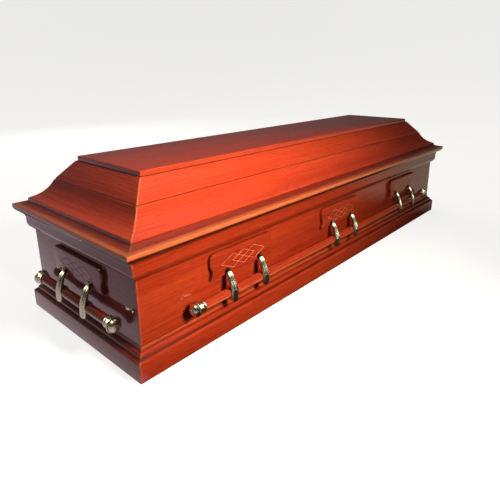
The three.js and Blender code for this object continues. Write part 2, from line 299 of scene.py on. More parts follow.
def lacquered(name, dark, middle, light, highlight_below=0.0, painted_shade_bands=(), rubbed=0.25):
    """Straight-grained wood, stained red-brown and sprayed with gloss lacquer.

    Long thin streaks and short dark pores follow the grain under a clear, wet-looking coat that
    mirrors its surroundings, with the faint waviness of a sprayed surface. Wood below the given
    height is painted paler and more orange: a painted highlight on the lip's face. Each painted shade
    band is a strip of moulding between two heights in mm that is painted darker as if in shade, with
    the share of the colour that is left. rubbed is the share by which the arrises are painted paler:
    a painted highlight where their rounding catches the light.
    """
    material, tree = new_material(name)
    dark, middle, light = (tuple(getattr(colours(), key)) for key in (dark, middle, light))
    # The colour of the painted highlights on the lip and the arrises
    pale = (*colours().lip_and_arris_highlight, 1)
    grain = node(tree, "ShaderNodeAttribute", attribute_name="grain").outputs["Vector"]
    height = node(tree, "ShaderNodeSeparateXYZ", {0: grain}).outputs["Z"]

    def along_grain(stretch, **settings):
        """Noise drawn out along the grain: stretch is how many patches there are in a metre."""
        place = node(tree, "ShaderNodeMapping", {"Vector": grain, "Scale": stretch})
        return node(tree, "ShaderNodeTexNoise", {"Vector": place, "Scale": 1, **settings})

    # Boards differ a little from each other in tone: bands about 120 mm wide and over 1 m long
    boards = node(
        tree, "ShaderNodeMapRange",
        {"Value": along_grain((0.9, 9, 9), Detail=2, Roughness=0.5), "From Min": 0.32, "From Max": 0.7},
    )
    # Growth-ring streaks 3 to 8 mm apart, bent by a slow drift
    drift = along_grain((2.2, 14, 14), Detail=1).outputs["Color"]
    drift = node(tree, "ShaderNodeVectorMath", {0: drift, "Scale": 0.02}, operation="SCALE")
    bent = node(tree, "ShaderNodeVectorMath", {0: grain, 1: drift}, operation="ADD")
    streaks = node(
        tree, "ShaderNodeTexNoise",
        {"Vector": node(tree, "ShaderNodeMapping", {"Vector": bent, "Scale": (1.8, 250, 250)}),
         "Scale": 1, "Detail": 3, "Roughness": 0.62},
    )
    ramp = node(
        tree, "ShaderNodeValToRGB", {"Fac": streaks},
        stops=[(0.3, dark), (0.46, middle), (0.62, mixed(middle, light)), (0.8, light)],
    )
    tone = node(
        tree, "ShaderNodeMix",
        {"Factor": boards, 6: (*mixed(middle, middle, dark), 1), 7: (*mixed(middle, light), 1)},
        data_type="RGBA",
    )
    wood = node(tree, "ShaderNodeMix", {"Factor": 0.5, 6: ramp, 7: tone.outputs[2]}, data_type="RGBA")
    # Painted highlight: the lip's face, below the given height, is painted paler and more orange
    low = node(
        tree, "ShaderNodeMapRange",
        {"Value": height, "From Min": highlight_below, "From Max": highlight_below + 0.5 * MM,
         "To Min": 0.85, "To Max": 0.0},
    )
    # Painted highlight: arrises are painted paler for 4 mm to each side, as where their rounding
    # catches the light
    inside = node(
        tree, "ShaderNodeAmbientOcclusion", {"Distance": 0.004}, inside=True, samples=8, only_local=True
    ).outputs["AO"]
    arris = node(
        tree, "ShaderNodeMapRange",
        {"Value": inside, "From Min": 0.55, "From Max": 0.92, "To Min": rubbed, "To Max": 0.0},
    )
    for share in (low, arris):
        wood = node(
            tree, "ShaderNodeMix", {"Factor": share, 6: wood.outputs[2], 7: pale}, data_type="RGBA"
        )
    # Painted shade: wood within about 16 mm of other surfaces, in grooves and under the lip, is
    # painted darker as if in shade
    closed_in = node(tree, "ShaderNodeAmbientOcclusion", {"Distance": 0.016}, samples=8).outputs["AO"]
    recess_shade = node(
        tree, "ShaderNodeMapRange",
        {"Value": closed_in, "From Min": 0.3, "From Max": 0.8, "To Min": 0.12, "To Max": 1.0},
    )
    # Pores: real ones are 0.2 mm wide, drawn about 1 mm wide and 30 mm long so that they show
    pores = node(
        tree, "ShaderNodeMapRange",
        {"Value": along_grain((26, 760, 760), Detail=1), "From Min": 0.3, "From Max": 0.42,
         "To Min": 0.55, "To Max": 1.0},
    )
    # Each strip of painted shade fades out over 1 mm above and below
    stops = [(0, grey(1))]
    for foot, top, left in painted_shade_bands:
        for edge, share in ((foot - 1, 1), (foot, left), (top, left), (top + 1, 1)):
            stops.append((edge / BAND_RANGE, grey(share)))
    level = node(tree, "ShaderNodeMath", {0: height, 1: BAND_RANGE * MM}, operation="DIVIDE")
    band_shade = node(tree, "ShaderNodeValToRGB", {"Fac": level}, stops=stops)
    # The pores, the painted recess shade and the strips of painted shade darken the wood together
    left = pores
    for share in (recess_shade, band_shade):
        left = node(tree, "ShaderNodeMath", {0: left, 1: share}, operation="MULTIPLY")
    shade = node(
        tree, "ShaderNodeMix", {"Factor": 1.0, 6: wood.outputs[2], 7: left},
        data_type="RGBA", blend_type="MULTIPLY",
    )
    bump = node(tree, "ShaderNodeBump", {"Height": streaks, "Strength": 0.05, "Distance": 0.0004})
    # Orange peel of the sprayed coat, about 6 mm across
    peel = node(tree, "ShaderNodeTexNoise", {"Vector": grain, "Scale": 90, "Detail": 2})
    coat_bump = node(tree, "ShaderNodeBump", {"Height": peel, "Strength": 0.02, "Distance": 0.001})
    shader = node(
        tree, "ShaderNodeBsdfPrincipled",
        {"Base Color": shade.outputs[2], "Roughness": 0.4, "IOR": 1.5, "Specular IOR Level": 0.2,
         "Coat Weight": 1.0, "Coat Roughness": 0.015, "Coat IOR": 1.5,
         "Normal": bump, "Coat Normal": coat_bump},
    )
    node(tree, "ShaderNodeOutputMaterial", {"Surface": shader})
    return material


def cut_lines():
    """Wood cut after staining and then lacquered over: paler and pinker than the face round it, partly
    as lighter cut wood and partly as a painted highlight where the groove's facets catch the light.
    """
    material, tree = new_material("Cut wood under lacquer")
    grain = node(tree, "ShaderNodeAttribute", attribute_name="grain").outputs["Vector"]
    # Cut fibres 2 mm apart and 25 mm long
    place = node(tree, "ShaderNodeMapping", {"Vector": grain, "Scale": (40, 500, 500)})
    fibres = node(tree, "ShaderNodeTexNoise", {"Vector": place, "Scale": 1, "Detail": 2})
    pale = tuple(colours().cut_wood)
    ramp = node(
        tree, "ShaderNodeValToRGB", {"Fac": fibres},
        stops=[(0.3, mixed(pale, tuple(colours().box_stain))), (0.65, pale)],
    )
    shader = node(
        tree, "ShaderNodeBsdfPrincipled",
        {"Base Color": ramp, "Roughness": 0.4, "IOR": 1.5, "Coat Weight": 0.6, "Coat Roughness": 0.1},
    )
    node(tree, "ShaderNodeOutputMaterial", {"Surface": shader})
    return material


def planed_wood():
    """Planed softwood with no finish: dry, pale and matt, with brown growth lines 8 to 16 mm apart.

    The pieces carry their grain as an attribute and the bottom board has none, so the two places
    are added up.
    """
    material, tree = new_material("Planed softwood, raw")
    grain = node(tree, "ShaderNodeAttribute", attribute_name="grain").outputs["Vector"]
    place = node(tree, "ShaderNodeTexCoord").outputs["Object"]
    either = node(tree, "ShaderNodeVectorMath", {0: grain, 1: place}, operation="ADD")
    lines = node(
        tree, "ShaderNodeTexNoise",
        {"Vector": node(tree, "ShaderNodeMapping", {"Vector": either, "Scale": (1.6, 60, 60)}),
         "Scale": 1, "Detail": 4, "Roughness": 0.6, "Distortion": 0.4},
    )
    wood = tuple(colours().raw_wood)
    ramp = node(
        tree, "ShaderNodeValToRGB", {"Fac": lines},
        stops=[(0.34, tuple(colours().raw_dark)), (0.5, wood), (0.75, mixed(wood, grey(1), wood))],
    )
    bump = node(tree, "ShaderNodeBump", {"Height": lines, "Strength": 0.2, "Distance": 0.0006})
    shader = node(
        tree, "ShaderNodeBsdfPrincipled",
        {"Base Color": ramp, "Roughness": 0.72, "IOR": 1.5, "Normal": bump},
    )
    node(tree, "ShaderNodeOutputMaterial", {"Surface": shader})
    return material


def antique_brass():
    """Cast zinc plated with brass, darkened with patina and rubbed back: pale greenish gold on the high
    faces, near black in the hollows, under a thin lacquer. The arms also carry painted shade."""
    material, tree = new_material("Antique brass, cast and rubbed")
    place = node(tree, "ShaderNodeTexCoord").outputs["Object"]
    # Uneven toning in patches about 12 mm across, with a finer mottle of about 3 mm
    patches = node(
        tree, "ShaderNodeTexNoise", {"Vector": place, "Scale": 85, "Detail": 3, "Roughness": 0.6}
    )
    mottle = node(tree, "ShaderNodeTexNoise", {"Vector": place, "Scale": 340, "Detail": 2})
    # Darker where the caps' hollows hold patina, and where the arms carry painted shade
    toned = node(tree, "ShaderNodeAttribute", attribute_name="toned")
    spread = node(
        tree, "ShaderNodeMath", {0: patches, 1: 0.5, 2: toned.outputs["Fac"]},
        operation="MULTIPLY_ADD",
    )
    rubbed, dark = tuple(colours().brass), tuple(colours().patina)
    ramp = node(
        tree, "ShaderNodeValToRGB", {"Fac": spread},
        stops=[(0.26, rubbed), (0.45, mixed(rubbed, rubbed, dark)), (0.75, mixed(rubbed, dark, dark)),
               (1.0, dark)],
    )
    rough = node(
        tree, "ShaderNodeMapRange",
        {"Value": mottle, "From Min": 0.3, "From Max": 0.7, "To Min": 0.2, "To Max": 0.32},
    )
    bump = node(tree, "ShaderNodeBump", {"Height": mottle, "Strength": 0.12, "Distance": 0.0004})
    shader = node(
        tree, "ShaderNodeBsdfPrincipled",
        {"Base Color": ramp, "Metallic": 1.0, "Roughness": rough, "Normal": bump},
    )
    node(tree, "ShaderNodeOutputMaterial", {"Surface": shader})
    return material


def studio_floor():
    """Matt painted studio floor: even and pale, with the faintest cloudiness."""
    material, tree = new_material("Painted studio floor, matt")
    place = node(tree, "ShaderNodeTexCoord").outputs["Object"]
    clouds = node(tree, "ShaderNodeTexNoise", {"Vector": place, "Scale": 1.5, "Detail": 2})
    pale = tuple(colours().floor)
    ramp = node(
        tree, "ShaderNodeValToRGB", {"Fac": clouds},
        stops=[(0.3, tuple(0.97 * c for c in pale)), (0.7, pale)],
    )
    shader = node(
        tree, "ShaderNodeBsdfPrincipled",
        {"Base Color": ramp, "Roughness": 0.9, "IOR": 1.4,
         "Emission Color": (*linear("#f6f6f4"), 1), "Emission Strength": 0.86},
    )
    node(tree, "ShaderNodeOutputMaterial", {"Surface": shader})
    return material


def reflected_floor():
    """Soft floor light that only the gloss sees: cool beside the left end, dim in front of the
    box and warm towards the far right."""
    material, tree = new_material("Reflected floor light")
    place = node(
        tree, "ShaderNodeSeparateXYZ", {0: node(tree, "ShaderNodeTexCoord").outputs["Object"]}
    )

    def fading(start, end, near, far):
        """From one colour to the next between two places along the box."""
        share = node(tree, "ShaderNodeMapRange", {"Value": place, "From Min": start, "From Max": end})
        return node(tree, "ShaderNodeMix", {"Factor": share, 6: near, 7: far}, data_type="RGBA").outputs[2]

    before = fading(0.9, 1.35, (*linear("#2a1c18"), 1), (*linear("#b09a84"), 1))
    cool = fading(-1.08, -1.24, (*linear("#d2c0c8"), 1), (*linear("#b6a4ae"), 1))
    glow = node(
        tree, "ShaderNodeEmission", {"Color": fading(-0.97, -0.99, before, cool), "Strength": 1.0}
    )
    node(tree, "ShaderNodeOutputMaterial", {"Surface": glow})
    return material


FINISHES = {
    # The box gets strips of painted shade in its plinth quirks and at the foot of its rim
    "box": lambda: lacquered(
        "Red-stained wood, gloss lacquer", "box_dark", "box_stain", "box_light", painted_shade_bands=box_painted_shade()
    ),
    # The lid gets painted highlights on its lip face and, more strongly, on its arrises
    "lid": lambda: lacquered(
        "Orange-stained wood, gloss lacquer", "lid_dark", "lid_stain", "lid_light",
        (lid_points()[0] + LIP_HEIGHT + 1) * MM, lid_painted_shade(), rubbed=0.75
    ),
    "bar": lambda: lacquered(
        "Turned red-stained wood, gloss lacquer", "box_dark", "box_stain", "lid_light"
    ),
    "cut": cut_lines,
    "raw": planed_wood,
    "brass": antique_brass,
    "floor": studio_floor,
    "card": reflected_floor,
}
made_finishes = {}


def finish(key):
    if key not in made_finishes:
        made_finishes[key] = FINISHES[key]()
    return made_finishes[key]


# ---------------------------------------------------------------- shapes


def sagging(start, end, sag, steps):
    """Points along a curve whose middle stands off the chord, to its left, by the given sag."""
    start, end = Vector(start), Vector(end)
    left = Vector((start.y - end.y, end.x - start.x)).normalized()
    control = (start + end) / 2 + left * 2 * sag
    shares = [i / steps for i in range(steps + 1)]
    return [tuple(start * (1 - t) ** 2 + control * 2 * t * (1 - t) + end * t * t) for t in shares]


def shifted(point, direction, distance):
    return (point[0] + direction[0] * distance, point[1] + direction[1] * distance)


def eased(ring, radius, least_turn=math.radians(24), steps=4):
    """A closed ring of (out, height, inner) points with its corners rounded."""
    made = []
    for i, point in enumerate(ring):
        here = Vector(point[:2])
        before, after = Vector(ring[i - 1][:2]) - here, Vector(ring[(i + 1) % len(ring)][:2]) - here
        if before.length < 1e-6 or after.length < 1e-6:
            continue
        turn = math.pi - before.angle(after)
        if turn < least_turn:
            made.append(point)
            continue
        reach = min(radius * math.tan(turn / 2), 0.4 * before.length, 0.4 * after.length)
        first, last = here + before.normalized() * reach, here + after.normalized() * reach
        for step in range(steps + 1):
            t = step / steps
            x, y = first * (1 - t) ** 2 + here * 2 * t * (1 - t) + last * t * t
            made.append((x, y, point[2]))
    return made


def section(outer, inner):
    """One ring from the shown points and then the hidden or inner ones."""
    return eased([(*p, False) for p in outer] + [(*p, True) for p in inner], sizes().arris / MM)


def board_section():
    wall, high = sizes().wall / MM, sizes().body_height / MM
    return section([(0, 0), (0, high)], [(-wall, high), (-wall, 0)])


def plinth_section():
    shoulder_top = (PLINTH_PROJECTION - PLINTH_SHOULDER * 0.8, PLINTH_FACE + PLINTH_SHOULDER)
    shoulder = sagging((PLINTH_PROJECTION, PLINTH_FACE), shoulder_top, -PLINTH_SHOULDER * 0.17, 8)
    bead_foot = (shoulder_top[0] - PLINTH_QUIRK, shoulder_top[1] + PLINTH_QUIRK)
    bead_top = (bead_foot[0] - PLINTH_BEAD_WIDTH, bead_foot[1] + PLINTH_BEAD_RISE)
    bead = sagging(bead_foot, bead_top, -PLINTH_BEAD_WIDTH * 0.25, 10)
    lip = (PLINTH_LIP, bead_top[1] + PLINTH_COVE)
    cove = sagging(bead_top, lip, PLINTH_LIP * 0.7, 8)
    return section([(PLINTH_PROJECTION, 0), *shoulder, *bead, *cove[1:]], [(GAP, lip[1]), (GAP, 0)])


def rim_section():
    high = sizes().body_height / MM
    foot = high - RIM_HEIGHT
    face = RIM_PROJECTION - RIM_STEP
    fillet_top = (face * 0.42, foot + RIM_FILLET)
    ovolo = sagging(fillet_top, (face, fillet_top[1] + RIM_OVOLO), -RIM_OVOLO * 0.16, 12)
    outer = [
        (face * 0.1, foot), (face * 0.36, foot + RIM_FILLET * 0.6), *ovolo,
        (face, high - RIM_BAND - RIM_STEP), (RIM_PROJECTION, high - RIM_BAND),
        (RIM_PROJECTION, high - RIM_STEP), (RIM_PROJECTION - RIM_STEP, high),
    ]
    return section(outer, [(GAP, high), (GAP, foot)])


def lid_points():
    """Where the lid's mouldings and boards meet, and the two directions of its slope."""
    lip_foot = sizes().body_height / MM + LIP_DROP
    cove_top = (LIP_PROJECTION - COVE_WIDTH, lip_foot + LIP_HEIGHT + COVE_RISE)
    hollow_foot = (cove_top[0] - BEAD_WIDTH, cove_top[1] + BEAD_RISE)
    joint = (hollow_foot[0] - HOLLOW_RUN, hollow_foot[1] + HOLLOW_RISE)
    top = (joint[0] - SLOPE_RUN, joint[1] + SLOPE_RISE)
    angle = math.atan2(SLOPE_RISE, SLOPE_RUN)
    up, deep = (-math.cos(angle), math.sin(angle)), (-math.sin(angle), -math.cos(angle))
    return lip_foot, cove_top, hollow_foot, joint, top, angle, up, deep


def cornice_section():
    lip_foot, cove_top, hollow_foot, joint, _, _, up, deep = lid_points()
    wall, seat = sizes().wall / MM, sizes().body_height / MM + GAP
    lip_top = lip_foot + LIP_HEIGHT
    cove = sagging((LIP_PROJECTION - 1.5, lip_top), cove_top, COVE_SAG, 10)
    bead_side = (cove_top[0] - BEAD_WIDTH * 0.2, cove_top[1] + BEAD_RISE * 0.6)
    bead = sagging(bead_side, hollow_foot, -BEAD_WIDTH * 0.2, 6)
    hollow = sagging(hollow_foot, shifted(joint, up, -GROOVE_WIDTH / 2), HOLLOW_SAG, 20)
    mating = shifted(joint, up, -GAP / 2)
    inner_top = shifted(mating, deep, LID_BOARD)
    inner_foot = (-wall, hollow_foot[1] - LID_BOARD * 0.6)
    outer = [
        (RIM_PROJECTION, seat), (RIM_PROJECTION, lip_foot), (LIP_PROJECTION - LIP_CHAMFER, lip_foot),
        (LIP_PROJECTION - LIP_CHAMFER / 3, lip_foot + LIP_HEIGHT / 4),
        (LIP_PROJECTION, lip_foot + LIP_HEIGHT / 2), (LIP_PROJECTION, lip_top - 2),
        *cove, *bead, *hollow[1:], shifted(mating, deep, GROOVE_DEPTH),
    ]
    inner = [*sagging(inner_top, inner_foot, -HOLLOW_SAG * 0.6, 8), (-wall, seat)]
    return section(outer, inner)


def slope_section():
    _, _, _, joint, top, angle, up, deep = lid_points()
    mating = shifted(joint, up, GAP / 2)
    inner_top = (top[0] - LID_BOARD / math.sin(angle), top[1])
    outer = [shifted(mating, deep, GROOVE_DEPTH), shifted(joint, up, GROOVE_WIDTH / 2), top]
    return section(outer, [inner_top, shifted(mating, deep, LID_BOARD)])


def mesh_of(name, points, faces):
    mesh = bpy.data.meshes.new(name)
    mesh.from_pydata(points, [], faces)
    mesh.validate()
    return mesh


def attribute(mesh, name, kind, domain, values, field="value"):
    made = mesh.attributes.new(name, kind, domain)
    made.data.foreach_set(field, values)


def tube_faces(rings, count):
    """Faces of a tube through rings of so many points each, closed at both ends."""
    faces = []
    for first in range(0, (rings - 1) * count, count):
        for i in range(count):
            j = (i + 1) % count
            faces.append((first + i, first + j, first + count + j, first + count + i))
    last = (rings - 1) * count
    return [*faces, tuple(range(count))[::-1], tuple(range(last, last + count))]


def length_mesh(name, ring):
    """The two ends of a mitred length, still 1 m either side of the middle and not yet mitred.

    A point holds its end, its distance out and its height; the angle on the eased corner and
    whether it is on the shown side go into attributes, for the tree that makes the length.
    """
    angles = [math.radians(a) for a in (45, 34, 22, 11, 0)]
    stations = [(-1, a) for a in angles] + [(1, a) for a in reversed(angles)]
    count = len(ring)
    points = [(end, out * MM, high * MM) for end, _ in stations for out, high, _ in ring]
    inside = [bool(ring[i][2] and ring[(i + 1) % count][2]) for _ in stations[1:] for i in range(count)]
    mesh = bpy.data.meshes.new(name)
    mesh.from_pydata(points, [], tube_faces(len(stations), count))
    attribute(mesh, "corner_angle", "FLOAT", "POINT", [a for _, a in stations for _ in ring])
    attribute(mesh, "shown", "FLOAT", "POINT", [0.0 if p[2] else 1.0 for _ in stations for p in ring])
    attribute(mesh, "second", "BOOLEAN", "FACE", inside + [False, False])
    return mesh


def loft(name, rings):
    """Closed mesh through rings of points that have as many points each."""
    return mesh_of(name, [p for ring in rings for p in ring], tube_faces(len(rings), len(rings[0])))


def turned(name, profile, segments, axis="x"):
    """Closed turned shape from (along, radius) points in mm that start and end on the axis."""
    profile = [(along * MM, radius * MM) for along, radius in profile]
    inner = profile[1:-1]
    points = [(profile[0][0], 0, 0), (profile[-1][0], 0, 0)]
    for along, radius in inner:
        for k in range(segments):
            angle = 2 * math.pi * k / segments
            points.append((along, radius * math.cos(angle), radius * math.sin(angle)))
    faces = []
    for i in range(len(inner) - 1):
        for k in range(segments):
            a, b = 2 + i * segments + k, 2 + i * segments + (k + 1) % segments
            faces.append((a, b, b + segments, a + segments))
    end = 2 + (len(inner) - 1) * segments
    for k in range(segments):
        faces.append((0, 2 + (k + 1) % segments, 2 + k))
        faces.append((1, end + k, end + (k + 1) % segments))
    if axis == "out":
        points = [(y, -x, z) for x, y, z in points]
    return mesh_of(name, points, faces)


def tidy_mesh(mesh, sharp_angle=38):
    """Makes every closed shell face outwards, and shades it smooth between its arrises."""
    shape = bmesh.new()
    shape.from_mesh(mesh)
    bmesh.ops.recalc_face_normals(shape, faces=shape.faces)
    shape.to_mesh(mesh)
    shape.free()
    mesh.shade_smooth()
    mesh.set_sharp_from_angle(angle=math.radians(sharp_angle))
    return mesh


def new_object(name, mesh):
    made = bpy.data.objects.new(name, mesh)
    bpy.context.scene.collection.objects.link(made)
    return made


def baked(obj):
    """The object's evaluated mesh, with its modifiers taken off and its own mesh replaced."""
    bpy.context.view_layer.update()
    graph = bpy.context.evaluated_depsgraph_get()
    mesh = bpy.data.meshes.new_from_object(obj.evaluated_get(graph))
    obj.modifiers.clear()
    obj.data = mesh
    return mesh


def cut_or_join(name, base, steps):
    """A mesh changed by booleans, each one ("UNION" or "DIFFERENCE", tool mesh)."""
    body = new_object(name, base)
    tools = []
    for operation, mesh in steps:
        tool = new_object(name + "_tool", mesh)
        modifier = body.modifiers.new(operation, "BOOLEAN")
        modifier.operation, modifier.object = operation, tool
        modifier.solver, modifier.use_self = "EXACT", True
        tools.append(tool)
    mesh = baked(body)
    for obj in [body, *tools]:
        bpy.data.objects.remove(obj)
    return mesh


def store_grain(mesh, offset=0.0):
    """Copies each point's place into the attribute that the wood grain follows."""
    values = []
    for vertex in mesh.vertices:
        values += [vertex.co.x + offset, vertex.co.y + offset * 0.37, vertex.co.z]
    attribute(mesh, "grain", "FLOAT_VECTOR", "POINT", values, "vector")


# ---------------------------------------------------------------- geometry node trees


def new_tree(name, sockets):
    """A geometry tree with a Geometry input and output and the given (name, kind) inputs."""
    tree = bpy.data.node_groups.new(name, "GeometryNodeTree")
    tree.interface.new_socket(name="Geometry", in_out="OUTPUT", socket_type="NodeSocketGeometry")
    tree.interface.new_socket(name="Geometry", in_out="INPUT", socket_type="NodeSocketGeometry")
    for socket, kind in sockets:
        tree.interface.new_socket(name=socket, in_out="INPUT", socket_type="NodeSocket" + kind)
    return tree, node(tree, "NodeGroupInput").outputs


def close_tree(tree, geometry, given):
    """Ends a tree in Realize Instances and Set Material, with a second finish where marked."""
    real = node(tree, "GeometryNodeRealizeInstances", {"Geometry": geometry})
    first = node(tree, "GeometryNodeSetMaterial", {"Geometry": real, "Material": given["Finish"]})
    marked = node(tree, "GeometryNodeInputNamedAttribute", {"Name": "second"}, data_type="BOOLEAN")
    second = node(
        tree, "GeometryNodeSetMaterial",
        {"Geometry": first, "Selection": marked, "Material": given["Second finish"]},
    )
    node(tree, "NodeGroupOutput", {0: second})


def moved(tree, geometry, translation=(0, 0, 0), turn=0.0):
    """Geometry moved and then turned about the upright axis through the origin."""
    there = node(tree, "GeometryNodeTransform", {"Geometry": geometry, "Translation": translation})
    return node(tree, "GeometryNodeTransform", {"Geometry": there, "Rotation": (0, 0, turn)})


def moved_to_side(tree, geometry, reach, turn):
    """Geometry moved out from the middle by the reach and turned to its side of the box."""
    out = node(tree, "ShaderNodeMath", {0: reach, 1: -1.0}, operation="MULTIPLY")
    return moved(tree, geometry, node(tree, "ShaderNodeCombineXYZ", {"Y": out}), turn)


def mitred_lengths_tree():
    """Four lengths of one section round the box, mitred, with eased corners and a grain of
    their own that runs along each length."""
    tree, given = new_tree("Mitred lengths round the box", [
        ("Half length", "Float"), ("Half width", "Float"), ("Corner round", "Float"),
        ("Mitre gap", "Float"), ("Grain offset", "Float"),
        ("Finish", "Material"), ("Second finish", "Material"),
    ])
    position = node(tree, "GeometryNodeInputPosition")
    place = node(tree, "ShaderNodeSeparateXYZ", {0: position}).outputs
    angle, shown = (
        node(tree, "GeometryNodeInputNamedAttribute", {"Name": key}) for key in ("corner_angle", "shown")
    )
    radius = node(tree, "ShaderNodeMath", {0: given["Corner round"], 1: shown}, operation="MULTIPLY")

    def eased_by(curve):
        """How far a point on the rounded corner stands back from the sharp one."""
        share = node(tree, "ShaderNodeMath", {0: angle}, operation=curve)
        rest = node(tree, "ShaderNodeMath", {0: 1.0, 1: share}, operation="SUBTRACT")
        return node(tree, "ShaderNodeMath", {0: radius, 1: rest}, operation="MULTIPLY")

    reach_out = place["Y"]
    for taken in (given["Mitre gap"], eased_by("SINE")):
        reach_out = node(tree, "ShaderNodeMath", {0: reach_out, 1: taken}, operation="SUBTRACT")
    out = node(tree, "ShaderNodeMath", {0: eased_by("COSINE"), 1: place["Y"]}, operation="SUBTRACT")
    lengths = []
    for number, (side, turn) in enumerate(SIDES.items()):
        half, reach = ("Half length", "Half width") if side in LONG_SIDES else ("Half width", "Half length")
        end = node(tree, "ShaderNodeMath", {0: reach_out, 1: given[half]}, operation="ADD")
        along = node(tree, "ShaderNodeMath", {0: end, 1: place["X"]}, operation="MULTIPLY")
        spot = node(tree, "ShaderNodeCombineXYZ", {"X": along, "Y": out, "Z": place["Z"]})
        shape = node(
            tree, "GeometryNodeSetPosition", {"Geometry": given["Geometry"], "Position": spot}
        )
        offset = node(
            tree, "ShaderNodeMath", {0: given["Grain offset"], 1: GRAIN_STEP * number}, operation="ADD"
        )
        shift = node(tree, "ShaderNodeCombineXYZ", {"X": offset, "Y": offset})
        grain = node(tree, "ShaderNodeVectorMath", {0: position, 1: shift}, operation="ADD")
        stored = node(
            tree, "GeometryNodeStoreNamedAttribute", {"Geometry": shape, "Name": "grain", "Value": grain},
            data_type="FLOAT_VECTOR", domain="POINT",
        )
        lengths.append(moved_to_side(tree, stored, given[reach], turn))
    close_tree(tree, node(tree, "GeometryNodeJoinGeometry", {0: lengths}), given)
    return tree


def fittings_tree(name, count, placing):
    """One fitting placed on all four sides of the box.

    placing is "single" for one at each station, "pair" for two set apart by the spread, and
    "ends" for two that face away from each other, with the spread between them.
    """
    tree, given = new_tree(name, [
        ("Half length", "Float"), ("Half width", "Float"), ("Station pitch", "Float"),
        ("Spread on long sides", "Float"), ("Spread on ends", "Float"), ("Offset", "Vector"),
        ("Seed", "Int"), ("Finish", "Material"), ("Second finish", "Material"),
    ])

    def group(spread):
        fitting = given["Geometry"]
        if placing != "single":
            half = node(tree, "ShaderNodeMath", {0: given[spread], 1: 0.5}, operation="MULTIPLY")
            right = moved(tree, fitting, node(tree, "ShaderNodeCombineXYZ", {"X": half}))
            if placing == "ends":
                left = moved(tree, right, turn=math.pi)
            else:
                back = node(tree, "ShaderNodeMath", {0: half, 1: -1.0}, operation="MULTIPLY")
                left = moved(tree, fitting, node(tree, "ShaderNodeCombineXYZ", {"X": back}))
            fitting = node(tree, "GeometryNodeJoinGeometry", {0: [left, right]})
        return moved(tree, fitting, given["Offset"])

    pitch = given["Station pitch"]
    first = node(tree, "ShaderNodeMath", {0: pitch, 1: -(count - 1) / 2}, operation="MULTIPLY")
    start, step = (node(tree, "ShaderNodeCombineXYZ", {"X": x}) for x in (first, pitch))
    line = node(
        tree, "GeometryNodeMeshLine", {"Count": count, "Start Location": start, "Offset": step}
    )
    run = node(
        tree, "GeometryNodeInstanceOnPoints",
        {"Points": line, "Instance": group("Spread on long sides")},
    )
    short = node(tree, "GeometryNodeGeometryToInstance", {0: group("Spread on ends")})
    placed = []
    for side, turn in SIDES.items():
        part, reach = (run, "Half width") if side in LONG_SIDES else (short, "Half length")
        placed.append(moved_to_side(tree, part, given[reach], turn))
    # Each instance is cut from another part of the plank
    shift = node(
        tree, "FunctionNodeRandomValue", {"Min": (0, 0, 0), "Max": (9, 9, 9), "Seed": given["Seed"]},
        data_type="FLOAT_VECTOR",
    )
    whole = node(tree, "GeometryNodeJoinGeometry", {0: placed})
    marked = node(
        tree, "GeometryNodeStoreNamedAttribute", {"Geometry": whole, "Name": "plank", "Value": shift},
        data_type="FLOAT_VECTOR", domain="INSTANCE",
    )
    real = node(tree, "GeometryNodeRealizeInstances", {"Geometry": marked})
    own, plank = (
        node(tree, "GeometryNodeInputNamedAttribute", {"Name": key}, data_type="FLOAT_VECTOR")
        for key in ("grain", "plank")
    )
    grain = node(tree, "ShaderNodeVectorMath", {0: own, 1: plank}, operation="ADD")
    stored = node(
        tree, "GeometryNodeStoreNamedAttribute", {"Geometry": real, "Name": "grain", "Value": grain},
        data_type="FLOAT_VECTOR", domain="POINT",
    )
    close_tree(tree, stored, given)
    return tree


def grown(name, mesh, tree, values):
    """A plain mesh object from a mesh put through a tree with the given inputs."""
    obj = new_object(name, mesh)
    modifier = obj.modifiers.new("Build", "NODES")
    modifier.node_group = tree
    for item in tree.interface.items_tree:
        if item.item_type == "SOCKET" and item.in_out == "INPUT" and item.name in values:
            modifier[item.identifier] = values[item.name]
    tidy_mesh(baked(obj))
    return obj


# ---------------------------------------------------------------- pieces


def hand_over(obj, nodes):
    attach(obj, "root")
    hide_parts(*nodes)


def side_nodes(*patterns):
    """CAD nodes named by a pattern with {side} in it, on all four sides."""
    names = set(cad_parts)
    found = [p.format(side=side) for side in SIDES for p in patterns]
    missing = [n for n in found if n not in names]
    if missing:
        raise RuntimeError(f"the frame has no node named {missing}")
    return found


def box_reach():
    return {"Half length": sizes().body_length / 2, "Half width": sizes().body_width / 2}


def moulding_piece(name, ring, pattern, finish_key, offset):
    """Four mitred lengths of a section, cut from the plank so many metres along it."""
    tree = bpy.data.node_groups.get("Mitred lengths round the box") or mitred_lengths_tree()
    obj = grown(name, length_mesh(name, ring), tree, {
        **box_reach(), "Corner round": sizes().corner_round, "Mitre gap": sizes().mitre_gap,
        "Grain offset": offset, "Finish": finish(finish_key), "Second finish": finish("raw"),
    })
    hand_over(obj, side_nodes(pattern))


def fitting_piece(name, mesh, count, placing, values, nodes, keys):
    """A fitting repeated on all four sides; keys are its finish and, if it has one, its second."""
    tree = fittings_tree(name.replace("_", " ").capitalize(), count, placing)
    obj = grown(name, mesh, tree, {
        **box_reach(), "Seed": 7, "Finish": finish(keys[0]), "Second finish": finish(keys[-1]), **values,
    })
    hand_over(obj, nodes)


def station_pitch():
    """The distance between the middles of neighbouring plaques on a long side."""
    return sizes().body_length / 2 - PLAQUE_SETBACK * MM


def numbered(kind, long_count, end_count):
    """CAD nodes numbered along each side, with one count for the long sides and one for the ends."""
    return [
        f"{side}_{kind}_{i + 1}"
        for side in SIDES
        for i in range(long_count if side in LONG_SIDES else end_count)
    ]


